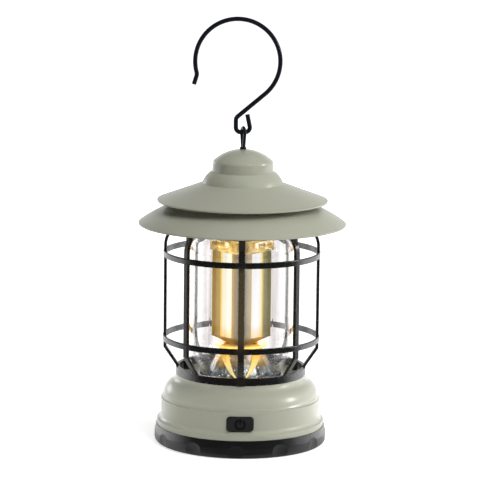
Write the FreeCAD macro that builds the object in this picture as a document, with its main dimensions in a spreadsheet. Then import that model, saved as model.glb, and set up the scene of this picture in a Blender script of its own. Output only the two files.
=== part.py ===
"""Camping lantern: fluted battery base, caged clear lens with an LED column, two brims and a wire hook.

Millimetres, +Z up, front (power button) towards -Y, origin at the centre of the base's resting face.
"""
import FreeCAD, Part
import math
import os
import Sketcher
from FreeCAD import Placement, Rotation, Vector

doc = FreeCAD.newDocument("camping_lantern")
sheet = doc.addObject("Spreadsheet::Sheet", "sizes")

# Driving dimensions: radii are measured from the lantern's axis, levels upward from the table.
SIZES = {
    "slip": 0.3,
    "lap_slip": 0.1,
    "pivot_slip": 0.06,
    # Twist-off battery cover.
    "cover_radius": 51.9,
    "cover_top_radius": 50.8,
    "cover_top": 10.8,
    "cover_wall_top": 6.5,
    "cover_wall": 3.6,
    "cover_floor": 2.0,
    "cover_edge": 3.0,
    "flute_width": 11.4,
    "flute_depth": 1.3,
    "flute_top": 9.2,
    "flute_count": 12,
    "flute_turn": 2.5,
    "catch_count": 3,
    "catch_angle": 30.0,
    "catch_height": 2.0,
    "catch_level": 4.6,
    # Painted base housing.
    "spigot_wall": 1.9,
    "spigot_bottom": 3.6,
    "seal_height": 0.5,
    "seal_outer": 49.3,
    "skirt_radius": 50.3,
    "skirt_top": 14.0,
    "skirt_sweep": 3.0,
    "band_radius": 47.9,
    "band_bottom": 16.2,
    "band_top": 27.0,
    "groove_depth": 0.7,
    "groove_top": 28.2,
    "step_radius": 46.8,
    "step_level": 29.1,
    "shoulder_sweep": 11.0,
    "collar_radius": 41.8,
    "collar_level": 37.2,
    "collar_sweep": 5.0,
    "deck_radius": 39.2,
    "deck_level": 41.5,
    "deck_thickness": 2.6,
    "deck_hole": 10.0,
    "housing_wall": 2.6,
    # Power button and its switch.
    "button_width": 15.6,
    "button_height": 8.7,
    "button_corner": 2.0,
    "button_level": 20.5,
    "button_proud": 1.1,
    "button_edge": 0.7,
    "button_travel": 0.9,
    "flange_lip": 1.5,
    "flange_thickness": 1.2,
    "switch_side": 6.0,
    "switch_depth": 2.8,
    "plunger_radius": 1.5,
    "plunger_length": 0.8,
    "board_width": 20.0,
    "board_height": 14.0,
    "board_thickness": 1.6,
    "bracket_width": 14.0,
    "bracket_thickness": 2.0,
    # Three AA cells in a tray that hangs from the deck.
    "cell_radius": 7.1,
    "cell_length": 50.5,
    "cell_pitch": 15.6,
    "cell_level": 18.0,
    "cell_slip": 0.2,
    "nub_radius": 2.7,
    "nub_length": 1.2,
    "tray_wall": 1.8,
    "tray_drop": 3.4,
    "tray_roof": 2.4,
    "spring_length": 6.0,
    "spring_radius": 5.0,
    "plate_thickness": 0.6,
    "post_radius": 4.0,
    "post_ring": 15.0,
    "screw_radius": 1.4,
    "screw_head_radius": 2.7,
    "screw_head_height": 1.6,
    "screw_length": 9.0,
    # Clear lens and its seals.
    "lens_radius": 31.2,
    "lens_wall": 1.6,
    "lens_foot_radius": 24.6,
    "lens_foot_height": 2.6,
    "lens_seal": 1.0,
    "lens_straight_bottom": 57.0,
    "lens_straight_top": 117.5,
    "lens_top_radius": 26.0,
    "lens_top": 126.2,
    "lens_sweep": 10.0,
    # Square LED column, its clear sleeve and the faceted reflector below.
    "column_bottom": 64.6,
    "column_top": 116.4,
    "column_side": 25.0,
    "stem_radius": 7.0,
    "column_point": 5.0,
    "strip_width": 9.0,
    "strip_margin": 0.5,
    "strip_thickness": 0.5,
    "sleeve_gap": 0.1,
    "sleeve_wall": 0.5,
    "cap_height": 5.4,
    "reflector_sides": 12,
    "reflector_foot": 20.8,
    "reflector_top": 11.5,
    "reflector_height": 17.5,
    "reflector_rim": 15.8,
    "reflector_rim_thickness": 1.2,
    "reflector_wall": 1.2,
    # Guard cage.
    "cage_radius": 46.8,
    "rib_thickness": 1.9,
    "rib_width": 4.0,
    "rib_edge": 0.7,
    "rib_count": 8,
    "rib_bend_level": 57.2,
    "rib_straight_top": 119.6,
    "rib_sweep": 14.0,
    "rib_foot_radius": 39.2,
    "ring_height": 3.5,
    "ring_thickness": 1.3,
    "ring_proud": 0.4,
    "ring_edge": 0.5,
    "lower_ring_level": 63.6,
    "upper_ring_level": 114.9,
    "foot_ring_height": 4.6,
    "foot_ring_thickness": 2.2,
    "top_ring_height": 2.0,
    "rib_end_radius": 30.0,
    "joint_width": 4.8,
    "joint_thickness": 0.6,
    # Lamp head, brims and dome.
    "head_radius": 38.0,
    "head_plate": 2.4,
    "head_plug_radius": 28.6,
    "head_hub_radius": 20.0,
    "brim_thickness": 1.6,
    "brim_lip": 1.0,
    "brim_edge": 0.4,
    "lower_brim_radius": 62.2,
    "lower_brim_level": 133.5,
    "lower_brim_knee": 48.0,
    "lower_brim_knee_level": 141.9,
    "lower_brim_top_radius": 34.0,
    "lower_brim_top": 150.3,
    "lower_brim_sweep": 90.0,
    "bolt_radius": 2.5,
    "bolt_head_radius": 5.0,
    "bolt_head_height": 3.0,
    "bolt_depth": 9.0,
    "upper_brim_radius": 51.1,
    "upper_brim_level": 147.4,
    "upper_brim_knee": 24.3,
    "upper_brim_knee_level": 157.4,
    "neck_radius": 18.9,
    "neck_level": 164.4,
    "neck_sweep": 14.0,
    "neck_hole": 15.0,
    "spacer_radius": 17.0,
    "dome_radius": 18.5,
    "dome_shoulder_radius": 18.1,
    "dome_shoulder": 170.5,
    "dome_top": 177.8,
    "dome_sweep": 26.0,
    "dome_wall": 1.6,
    "dome_edge": 2.4,
    "dome_spigot": 1.4,
    # Swivel eye and wire hook.
    "shank_radius": 2.0,
    "shank_bottom": 168.0,
    "shank_top": 179.0,
    "eye_wire": 1.0,
    "eye_bend": 3.2,
    "eye_top": 191.6,
    "eye_turn": 107.0,
    "eye_nut_radius": 4.0,
    "eye_nut_height": 3.0,
    "hook_wire": 1.375,
    "hook_radius": 25.3,
    "hook_centre_x": -3.75,
    "hook_centre_z": 230.15,
    "hook_pivot": 187.9,
    "hook_loop_half": 4.5,
    "hook_loop_bend": 2.8,
    "hook_loop_top": 196.4,
    "hook_loop_end": 198.6,
    "hook_open_angle": 195.0,
    "hook_tip_bend": 4.5,
    "hook_tip_turn": 32.0,
    "hook_tip_length": 5.0,
}


class Size:
    """A length that carries its number and the sheet formula it comes from."""

    def __init__(self, number, formula):
        self.number = number
        self.formula = formula

    def join(self, sign, number, other):
        return Size(number, "(" + self.formula + sign + other.formula + ")")

    def __add__(self, other):
        other = as_size(other)
        return self.join(" + ", self.number + other.number, other)

    def __sub__(self, other):
        other = as_size(other)
        return self.join(" - ", self.number - other.number, other)

    def __mul__(self, other):
        other = as_size(other)
        return self.join(" * ", self.number * other.number, other)

    def __truediv__(self, other):
        other = as_size(other)
        return self.join(" / ", self.number / other.number, other)

    def __neg__(self):
        return as_size(-1) * self


class Sizes:
    """The sheet's cells by name, as in sizes.lens_radius."""

    def __getattr__(self, alias):
        return Size(float(sheet.get(alias)), "sizes." + alias)


def as_size(value):
    return value if isinstance(value, Size) else Size(float(value), repr(float(value)))


def fill_sheet():
    for row, (alias, value) in enumerate(SIZES.items(), start=1):
        sheet.set("A%d" % row, alias.replace("_", " "))
        sheet.set("B%d" % row, str(value))
        sheet.setAlias("B%d" % row, alias)
    doc.recompute()


fill_sheet()
sizes = Sizes()
ZERO = as_size(0)


def bind(obj, **values):
    """Tie an object's properties to the sheet."""
    for name, value in values.items():
        obj.setExpression(name, as_size(value).formula)


def bind_place(obj, x=0, y=0, z=0):
    for axis, value in zip("xyz", (x, y, z)):
        obj.setExpression("Placement.Base." + axis, as_size(value).formula)


# Sketch outlines

def origin_plane(body, role):
    return next(item for item in body.Origin.OriginFeatures if item.Role == role)


def new_sketch(body, name, plane="XZ_Plane", offset=None):
    sketch = body.newObject("Sketcher::SketchObject", name)
    sketch.AttachmentSupport = [(origin_plane(body, plane), "")]
    sketch.MapMode = "FlatFace"
    if offset is not None:
        sketch.setExpression("AttachmentOffset.Base.z", as_size(offset).formula)
    return sketch


def arc_between(start, end, radius, turn):
    """Arc under half a circle; turn is 1 for a left-hand bend and -1 for a right-hand one."""
    chord = end - start
    rise = math.sqrt(max(radius ** 2 - (chord.Length / 2) ** 2, 0))
    side = Vector(-chord.y, chord.x, 0).normalize()
    centre = (start + end) / 2 + side * rise * turn
    first, last = (start, end) if turn > 0 else (end, start)
    angles = [math.atan2(point.y - centre.y, point.x - centre.x) for point in (first, last)]
    return Part.ArcOfCircle(Part.Circle(centre, Vector(0, 0, 1), radius), angles[0], angles[1])


def draw(sketch, outline):
    """Draw a closed outline; a corner (x, y) is reached by a line, (x, y, radius, turn) by an arc."""
    corners = [tuple(as_size(value) for value in corner) for corner in outline]
    spots = [Vector(corner[0].number, corner[1].number, 0) for corner in corners]
    ends = []
    for index, corner in enumerate(corners):
        start, end = spots[index - 1], spots[index]
        turn = corner[3].number if len(corner) > 2 else 0
        if turn:
            edge = sketch.addGeometry(arc_between(start, end, corner[2].number, turn))
            radius = sketch.addConstraint(Sketcher.Constraint("Radius", edge, corner[2].number))
            sketch.setExpression("Constraints[%d]" % radius, corner[2].formula)
        else:
            edge = sketch.addGeometry(Part.LineSegment(start, end))
        ends.append((edge, (1, 2) if turn >= 0 else (2, 1)))
    for index, corner in enumerate(corners):
        edge, (_, last) = ends[index]
        next_edge, (first, _) = ends[(index + 1) % len(ends)]
        sketch.addConstraint(Sketcher.Constraint("Coincident", edge, last, next_edge, first))
        for kind, axis, value in (("DistanceX", -2, corner[0]), ("DistanceY", -1, corner[1])):
            if value is ZERO:
                sketch.addConstraint(Sketcher.Constraint("PointOnObject", edge, last, axis))
            else:
                place = sketch.addConstraint(Sketcher.Constraint(kind, -1, 1, edge, last, value.number))
                sketch.setExpression("Constraints[%d]" % place, value.formula)


def rounded_rectangle(width, height, corner, level):
    """Outline of a rectangle with round corners, centred on the vertical axis at a level."""
    right, left = width / 2, -(width / 2)
    top, bottom = level + height / 2, level - height / 2
    return [
        (right - corner, bottom),
        (right, bottom + corner, corner, 1),
        (right, top - corner),
        (right - corner, top, corner, 1),
        (left + corner, top),
        (left, top - corner, corner, 1),
        (left, bottom + corner),
        (left + corner, bottom, corner, 1),
    ]


# Solid features

def turn_feature(body, name, outline, angle=360):
    sketch = new_sketch(body, name + "_outline")
    draw(sketch, outline)
    feature = body.newObject("PartDesign::Revolution", name)
    feature.Profile = sketch
    feature.ReferenceAxis = (sketch, ["V_Axis"])
    feature.Midplane = True
    bind(feature, Angle=angle)
    return feature


def turned(label, outline):
    """Body of revolution about the lantern's axis."""
    body = doc.addObject("PartDesign::Body", label)
    turn_feature(body, label + "_turn", outline)
    return body


def around(body, feature, count):
    """Repeat a feature evenly around the axis."""
    pattern = body.newObject("PartDesign::PolarPattern", feature.Name + "_around")
    pattern.Originals = [feature]
    pattern.Axis = (origin_axis(body), [""])
    pattern.Angle = 360
    bind(pattern, Occurrences=count)
    body.Tip = pattern
    return pattern


def origin_axis(body):
    return next(item for item in body.Origin.OriginFeatures if item.Role == "Z_Axis")


def front_pocket(body, name, outline, depth_from, length):
    """Cut an outline seen from the front, from a plane at that depth out towards -Y."""
    sketch = new_sketch(body, name + "_outline", offset=depth_from)
    draw(sketch, outline)
    pocket = body.newObject("PartDesign::Pocket", name)
    pocket.Profile = sketch
    pocket.Reversed = True
    bind(pocket, Length=length)
    return pocket


def scoop(body, name, outline, distance):
    """Cut a shape turned about an upright axis that stands in front of the piece."""
    sketch = new_sketch(body, name + "_outline", offset=distance)
    draw(sketch, outline)
    groove = body.newObject("PartDesign::Groove", name)
    groove.Profile = sketch
    groove.ReferenceAxis = (sketch, ["V_Axis"])
    groove.Angle = 360
    return groove


def rounded(body, feature, name, parts, radius):
    """Round the named edges, or all edges of the named faces, of the last feature."""
    fillet = body.newObject("PartDesign::Fillet", name)
    fillet.Base = (feature, parts)
    bind(fillet, Radius=radius)
    return fillet


def box(label, x, y, z):
    """Box between pairs of low and high values."""
    low = [as_size(pair[0]) for pair in (x, y, z)]
    high = [as_size(pair[1]) for pair in (x, y, z)]
    solid = doc.addObject("Part::Box", label)
    spans = [top - bottom for bottom, top in zip(low, high)]
    bind(solid, Length=spans[0], Width=spans[1], Height=spans[2])
    bind_place(solid, *low)
    return solid


def rod(label, radius, start, length, direction=Vector(0, 0, 1)):
    solid = doc.addObject("Part::Cylinder", label)
    solid.Placement = Placement(Vector(), Rotation(Vector(0, 0, 1), direction))
    bind(solid, Radius=radius, Height=length)
    bind_place(solid, *start)
    return solid


def joined(label, members):
    solid = doc.addObject("Part::MultiFuse", label)
    solid.Shapes = members
    return solid


def cut(label, base, tool):
    solid = doc.addObject("Part::Cut", label)
    solid.Base = base
    solid.Tool = tool
    return solid


def group(label, members):
    """Separate like pieces under one name."""
    cluster = doc.addObject("Part::Compound", label)
    cluster.Links = members
    return cluster


def ring_spot(radius, degrees):
    """A point on a circle about the axis, as sheet formulas."""
    angle = math.radians(degrees)
    return radius * round(math.cos(angle), 9), radius * round(math.sin(angle), 9)


def even_angles(count, start=0):
    whole = int(round(count.number))
    return [start + 360 * step / whole for step in range(whole)]


# Base

cover_inner = sizes.cover_radius - sizes.cover_wall
catch_inner = cover_inner - sizes.slip - (sizes.cover_wall / 3)
spigot_radius = catch_inner - sizes.slip
spigot_inner = spigot_radius - sizes.spigot_wall
seal_top = sizes.cover_top + sizes.seal_height
deck_under = sizes.deck_level - sizes.deck_thickness


def make_base_cover():
    """Black twist-off cover with grip flutes and three inner catches."""
    body = turned("base_cover", [
        (ZERO, ZERO),
        (sizes.cover_radius - sizes.cover_edge, ZERO),
        (sizes.cover_radius, sizes.cover_edge, sizes.cover_edge, 1),
        (sizes.cover_radius, sizes.cover_wall_top),
        (sizes.cover_top_radius, sizes.cover_top),
        (cover_inner, sizes.cover_top),
        (cover_inner, sizes.cover_floor),
        (ZERO, sizes.cover_floor),
    ])
    catch_low = sizes.catch_level + sizes.catch_height + sizes.lap_slip
    catch = turn_feature(body, "cover_catch", [
        (catch_inner, catch_low),
        (cover_inner + sizes.lap_slip, catch_low),
        (cover_inner + sizes.lap_slip, catch_low + sizes.catch_height),
        (catch_inner, catch_low + sizes.catch_height),
    ], sizes.catch_angle)
    around(body, catch, sizes.catch_count)
    half = sizes.flute_width / 2
    scoop_radius = (half * half / sizes.flute_depth + sizes.flute_depth) / 2
    arch = sizes.flute_top - half
    below = ZERO - sizes.cover_edge
    flute = scoop(body, "grip_flute", [
        (ZERO, below),
        (scoop_radius, below),
        (scoop_radius, arch),
        (ZERO, arch + scoop_radius, scoop_radius, 1),
    ], sizes.cover_radius - sizes.flute_depth + scoop_radius)
    around(body, flute, sizes.flute_count)
    body.Placement = Placement(Vector(), Rotation(Vector(0, 0, 1), -sizes.flute_turn.number))
    return body


def make_cover_seal():
    return turned("cover_seal", [
        (spigot_radius + sizes.lap_slip, sizes.cover_top),
        (sizes.seal_outer, sizes.cover_top),
        (sizes.seal_outer, seal_top),
        (spigot_radius + sizes.lap_slip, seal_top),
    ])


def make_base_housing():
    """Painted housing: spigot, skirt, button band, shoulder, collar and deck."""
    slope_wall = sizes.housing_wall * 1.5
    body = turned("base_housing", [
        (spigot_inner, sizes.spigot_bottom),
        (spigot_radius, sizes.spigot_bottom),
        (spigot_radius, seal_top),
        (sizes.seal_outer + sizes.lap_slip, seal_top),
        (sizes.seal_outer + sizes.lap_slip, sizes.cover_top + sizes.lap_slip),
        (sizes.skirt_radius, sizes.cover_top + sizes.lap_slip),
        (sizes.skirt_radius, sizes.skirt_top),
        (sizes.band_radius, sizes.band_bottom, sizes.skirt_sweep, -1),
        (sizes.band_radius, sizes.band_top),
        (sizes.band_radius - sizes.groove_depth, sizes.band_top + sizes.groove_depth / 2),
        (sizes.band_radius - sizes.groove_depth, sizes.groove_top),
        (sizes.step_radius, sizes.step_level),
        (sizes.collar_radius, sizes.collar_level, sizes.shoulder_sweep, 1),
        (sizes.deck_radius, sizes.deck_level, sizes.collar_sweep, -1),
        (sizes.deck_hole, sizes.deck_level),
        (sizes.deck_hole, deck_under),
        (sizes.collar_radius - slope_wall, deck_under),
        (sizes.step_radius - slope_wall, sizes.step_level),
        (spigot_inner, sizes.band_top),
    ])
    lug = turn_feature(body, "housing_lug", [
        (spigot_radius - sizes.lap_slip, sizes.catch_level),
        (cover_inner - sizes.slip, sizes.catch_level),
        (cover_inner - sizes.slip, sizes.catch_level + sizes.catch_height),
        (spigot_radius - sizes.lap_slip, sizes.catch_level + sizes.catch_height),
    ], sizes.catch_angle)
    around(body, lug, sizes.catch_count)
    front_pocket(
        body,
        "button_window",
        rounded_rectangle(
            sizes.button_width + sizes.slip * 2,
            sizes.button_height + sizes.slip * 2,
            sizes.button_corner + sizes.slip,
            sizes.button_level,
        ),
        spigot_inner - sizes.button_width,
        sizes.button_width * 2,
    )
    for angle in even_angles(as_size(4), 45):
        deck_bore(body, angle)
    return body


def deck_bore(body, angle):
    """Screw hole through the deck."""
    sketch = new_sketch(body, "deck_bore_%d" % angle, "XY_Plane", deck_under - sizes.lap_slip)
    x, y = ring_spot(sizes.post_ring, angle)
    radius = sizes.screw_radius + sizes.lap_slip
    circle = Part.Circle(Vector(x.number, y.number, 0), Vector(0, 0, 1), radius.number)
    edge = sketch.addGeometry(circle)
    for kind, value in (("DistanceX", x), ("DistanceY", y)):
        place = sketch.addConstraint(Sketcher.Constraint(kind, -1, 1, edge, 3, value.number))
        sketch.setExpression("Constraints[%d]" % place, value.formula)
    width = sketch.addConstraint(Sketcher.Constraint("Radius", edge, radius.number))
    sketch.setExpression("Constraints[%d]" % width, radius.formula)
    pocket = body.newObject("PartDesign::Pocket", "deck_bore_cut_%d" % angle)
    pocket.Profile = sketch
    pocket.Reversed = True
    bind(pocket, Length=sizes.deck_thickness * 2)


# Button and switch

button_front = sizes.band_radius + sizes.button_proud
flange_front = spigot_inner - sizes.slip - sizes.flange_thickness
flange_back = flange_front - sizes.flange_thickness
switch_tip = flange_back - sizes.button_travel - sizes.lap_slip
board_front = switch_tip - sizes.plunger_length - sizes.switch_depth
board_back = board_front - sizes.board_thickness


def make_power_button():
    """Rubber key with a retaining flange behind the housing wall."""
    body = doc.addObject("PartDesign::Body", "power_button")
    sketch = new_sketch(body, "button_outline", offset=flange_front - sizes.lap_slip)
    draw(sketch, rounded_rectangle(
        sizes.button_width, sizes.button_height, sizes.button_corner, sizes.button_level))
    key = body.newObject("PartDesign::Pad", "button_key")
    key.Profile = sketch
    bind(key, Length=button_front - flange_front + sizes.lap_slip)
    doc.recompute()
    face = min(range(len(key.Shape.Faces)), key=lambda item: key.Shape.Faces[item].CenterOfMass.y)
    rounded(body, key, "button_edge_round", ["Face%d" % (face + 1)], sizes.button_edge)
    lip_sketch = new_sketch(body, "flange_outline", offset=flange_back)
    draw(lip_sketch, rounded_rectangle(
        sizes.button_width + sizes.flange_lip * 2,
        sizes.button_height + sizes.flange_lip * 2,
        sizes.button_corner,
        sizes.button_level,
    ))
    lip = body.newObject("PartDesign::Pad", "button_flange")
    lip.Profile = lip_sketch
    bind(lip, Length=sizes.flange_thickness)
    return body


def make_switch():
    half = sizes.switch_side / 2
    case = box(
        "switch_case",
        (-half, half),
        (-(board_front + sizes.switch_depth), -board_front),
        (sizes.button_level - half, sizes.button_level + half),
    )
    plunger = rod(
        "switch_plunger",
        sizes.plunger_radius,
        (ZERO, -(board_front + sizes.switch_depth), sizes.button_level),
        sizes.plunger_length,
        Vector(0, -1, 0),
    )
    return joined("tactile_switch", [case, plunger])


def make_switch_board():
    half = sizes.board_width / 2
    return box(
        "switch_board",
        (-half, half),
        (-board_front, -board_back),
        (sizes.button_level - sizes.board_height / 2, sizes.button_level + sizes.board_height / 2),
    )


def make_board_bracket():
    half = sizes.bracket_width / 2
    return box(
        "board_bracket",
        (-half, half),
        (-board_back, -(board_back - sizes.bracket_thickness)),
        (sizes.button_level - sizes.board_height / 2, deck_under),
    )


# Battery tray

bay_half = (sizes.cell_length + sizes.spring_length + sizes.plate_thickness * 2) / 2
tray_top = sizes.cell_level + sizes.cell_radius + sizes.cell_slip + sizes.tray_roof
cell_rows = [-1, 0, 1]


def row_side(row):
    """Which end the positive nub of a cell points to; neighbours face opposite ways."""
    return -1 if row == 0 else 1


def make_battery_tray():
    """Snap-in tray with three troughs open below and four posts up to the deck."""
    width = sizes.cell_pitch * 1.5 + sizes.tray_wall
    length = bay_half + sizes.tray_wall
    block = box(
        "tray_block",
        (-length, length),
        (-width, width),
        (sizes.cell_level - sizes.tray_drop, tray_top),
    )
    bores = []
    for row in cell_rows:
        start = (-bay_half, sizes.cell_pitch * row, sizes.cell_level)
        radius = sizes.cell_radius + sizes.cell_slip
        bores.append(rod("trough_%d" % (row + 2), radius, start, bay_half * 2, Vector(1, 0, 0)))
    block = cut("tray_troughs", block, joined("trough_tools", bores))
    posts = []
    pilots = []
    for angle in even_angles(as_size(4), 45):
        x, y = ring_spot(sizes.post_ring, angle)
        posts.append(rod("post_%d" % angle, sizes.post_radius, (x, y, tray_top), deck_under - tray_top))
        depth = sizes.screw_length - sizes.deck_thickness + sizes.slip
        pilots.append(rod(
            "pilot_%d" % angle, sizes.screw_radius + sizes.lap_slip, (x, y, deck_under - depth), depth))
    return cut("battery_tray", joined("tray_with_posts", [block] + posts), joined("pilot_tools", pilots))


def make_tray_screws():
    screws = []
    for angle in even_angles(as_size(4), 45):
        x, y = ring_spot(sizes.post_ring, angle)
        head = rod("deck_head_%d" % angle, sizes.screw_head_radius, (x, y, sizes.deck_level),
                   sizes.screw_head_height)
        shank = rod("deck_shank_%d" % angle, sizes.screw_radius,
                    (x, y, sizes.deck_level - sizes.screw_length), sizes.screw_length)
        screws.append(joined("deck_screw_%d" % angle, [head, shank]))
    return group("tray_screws", screws)


def make_battery_cell(row):
    """AA cell with its positive nub against the contact plate."""
    side = row_side(row)
    y = sizes.cell_pitch * row
    nub_end = (bay_half - sizes.plate_thickness) * side
    can_start = nub_end - sizes.nub_length * side
    direction = Vector(-side, 0, 0)
    can = rod("can_%d" % (row + 2), sizes.cell_radius, (can_start, y, sizes.cell_level),
              sizes.cell_length - sizes.nub_length, direction)
    nub = rod("nub_%d" % (row + 2), sizes.nub_radius, (nub_end, y, sizes.cell_level),
              sizes.nub_length, direction)
    return joined("battery_cell_%d" % (row + 2), [can, nub])


def make_contact_plates():
    half = sizes.spring_radius
    plates = []
    for row in cell_rows:
        y = sizes.cell_pitch * row
        for name, inner, outer in (
            ("left", -bay_half, -(bay_half - sizes.plate_thickness)),
            ("right", bay_half - sizes.plate_thickness, bay_half),
        ):
            plates.append(box(
                "%s_plate_%d" % (name, row + 2),
                (inner, outer),
                (y - half, y + half),
                (sizes.cell_level - sizes.tray_drop, sizes.cell_level + half),
            ))
    return group("contact_plates", plates)


def make_contact_springs():
    """Hidden conical springs pressing on the flat ends of the cells."""
    springs = []
    for row in cell_rows:
        side = row_side(row)
        spring = doc.addObject("Part::Cone", "spring_%d" % (row + 2))
        spring.Placement = Placement(Vector(), Rotation(Vector(0, 0, 1), Vector(side, 0, 0)))
        bind(spring, Radius1=sizes.spring_radius, Radius2=sizes.spring_radius / 2, Height=sizes.spring_length)
        seat = (bay_half - sizes.plate_thickness) * -side
        bind_place(spring, seat, sizes.cell_pitch * row, sizes.cell_level)
        springs.append(spring)
    return group("contact_springs", springs)


# Lens and light

lens_bottom = sizes.deck_level + sizes.lens_seal
head_plug_level = sizes.lens_top + sizes.lens_seal
ring_top = sizes.rib_straight_top + sizes.rib_sweep - sizes.rib_thickness
head_level = ring_top + sizes.rib_thickness


def make_lens():
    """Clear barrel, narrowed at the foot and drawn in at the top."""
    wall = sizes.lens_wall
    foot_top = lens_bottom + sizes.lens_foot_height
    sweep = sizes.lens_sweep
    return turned("lens", [
        (sizes.lens_foot_radius - wall, lens_bottom),
        (sizes.lens_foot_radius, lens_bottom),
        (sizes.lens_foot_radius, foot_top),
        (sizes.lens_radius, sizes.lens_straight_bottom, sweep * 2, 1),
        (sizes.lens_radius, sizes.lens_straight_top),
        (sizes.lens_top_radius, sizes.lens_top, sweep, 1),
        (sizes.lens_top_radius - wall, sizes.lens_top),
        (sizes.lens_radius - wall, sizes.lens_straight_top, sweep, -1),
        (sizes.lens_radius - wall, sizes.lens_straight_bottom),
        (sizes.lens_foot_radius - wall, foot_top, sweep * 2, -1),
    ])


def make_lens_seal(label, radius, level):
    return turned(label, [
        (radius - sizes.lens_wall * 2, level),
        (radius, level),
        (radius, level + sizes.lens_seal),
        (radius - sizes.lens_wall * 2, level + sizes.lens_seal),
    ])


def square_tube(label, half, low, high):
    return box(label, (-half, half), (-half, half), (low, high))


def edge_forward(solid):
    """Turn a square piece so that one of its edges faces the front."""
    solid.Placement = Placement(Vector(), Rotation(Vector(0, 0, 1), 45))
    return solid


sleeve_half = sizes.column_side / 2 + sizes.strip_thickness + sizes.sleeve_gap + sizes.sleeve_wall


def make_led_column():
    """Aluminium core: square carrier with a pointed foot between two round stems."""
    half = sizes.column_side / 2
    point = sizes.column_bottom - sizes.column_point
    carrier = square_tube("carrier", half, sizes.column_bottom, sizes.column_top)
    corner = half * round(math.sqrt(2), 9)
    foot = frustum("column_foot", 4, sizes.stem_radius, point, corner, sizes.column_bottom)
    foot.Placement = Placement(Vector(), Rotation(Vector(0, 0, 1), 45))
    low_stem = rod("low_stem", sizes.stem_radius, (ZERO, ZERO, deck_under), sizes.column_bottom - deck_under)
    high_stem = rod("high_stem", sizes.stem_radius, (ZERO, ZERO, sizes.column_bottom),
                    head_plug_level - sizes.column_bottom)
    return edge_forward(joined("led_column", [carrier, foot, low_stem, high_stem]))


def make_led_strip(number):
    """Light strip on one face of the column."""
    half = sizes.strip_width / 2
    face = sizes.column_side / 2
    strip = box(
        "strip_plate_%d" % number,
        (face, face + sizes.strip_thickness),
        (-half, half),
        (sizes.column_bottom + sizes.strip_margin, sizes.column_top - sizes.strip_margin),
    )
    turned_strip = group("led_strip_%d" % number, [strip])
    turned_strip.Placement = Placement(Vector(), Rotation(Vector(0, 0, 1), 45 + 90 * (number - 1)))
    return turned_strip


def make_light_sleeve():
    """Clear square sleeve around the strips, one edge to the front."""
    shell = square_tube("sleeve_outside", sleeve_half, sizes.column_bottom, sizes.column_top)
    hollow = square_tube("sleeve_inside", sleeve_half - sizes.sleeve_wall, sizes.column_bottom - sizes.slip,
                         sizes.column_top + sizes.slip)
    return edge_forward(cut("light_sleeve", shell, hollow))


def make_crystal_cap():
    """Clear block on top of the sleeve, which scatters its light."""
    block = square_tube("cap_block", sleeve_half, sizes.column_top, sizes.column_top + sizes.cap_height)
    bore = rod("cap_bore", sizes.stem_radius + sizes.slip, (ZERO, ZERO, sizes.column_top - sizes.slip),
               sizes.cap_height + sizes.slip * 2)
    return edge_forward(cut("crystal_cap", block, bore))


def polygon_at(label, sides, radius, level):
    outline = doc.addObject("Part::RegularPolygon", label)
    bind(outline, Polygon=sides, Circumradius=radius)
    bind_place(outline, 0, 0, level)
    return outline


def frustum(label, sides, low_radius, low, high_radius, high):
    """Solid with flat facets between two even polygons."""
    loft = doc.addObject("Part::Loft", label)
    loft.Sections = [
        polygon_at(label + "_low", sides, low_radius, low),
        polygon_at(label + "_high", sides, high_radius, high),
    ]
    loft.Solid = True
    loft.Ruled = True
    return loft


def make_reflector():
    """Bright faceted cone on the deck, around the foot of the column."""
    low = sizes.deck_level
    high = low + sizes.reflector_height
    wall = sizes.reflector_wall
    sides = sizes.reflector_sides
    outside = frustum("cone_outside", sides, sizes.reflector_foot, low, sizes.reflector_top, high)
    inside = frustum("cone_inside", sides, sizes.reflector_foot - wall, low, sizes.reflector_top - wall, high)
    return cut("reflector", outside, inside)


def make_reflector_rim():
    """Clear edge-lit plate on top of the cone."""
    low = sizes.deck_level + sizes.reflector_height
    return plain_ring("reflector_rim", sizes.reflector_top - sizes.reflector_wall, sizes.reflector_rim,
                      low, low + sizes.reflector_rim_thickness)


# Guard cage

ring_outer = sizes.cage_radius + sizes.ring_proud
ring_inner = ring_outer - sizes.ring_thickness
foot_top = sizes.deck_level + sizes.foot_ring_height


def ring_notch(body, name, level):
    """Lap in the outer face of a rib where a ring crosses it."""
    depth = ring_inner - sizes.lap_slip
    half = sizes.ring_height / 2
    sketch = new_sketch(body, name + "_outline")
    draw(sketch, [
        (depth, level - half),
        (ring_outer, level - half),
        (ring_outer, level + half),
        (depth, level + half),
    ])
    notch = body.newObject("PartDesign::Pocket", name)
    notch.Profile = sketch
    notch.Midplane = True
    bind(notch, Length=sizes.rib_width * 2)


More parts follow.
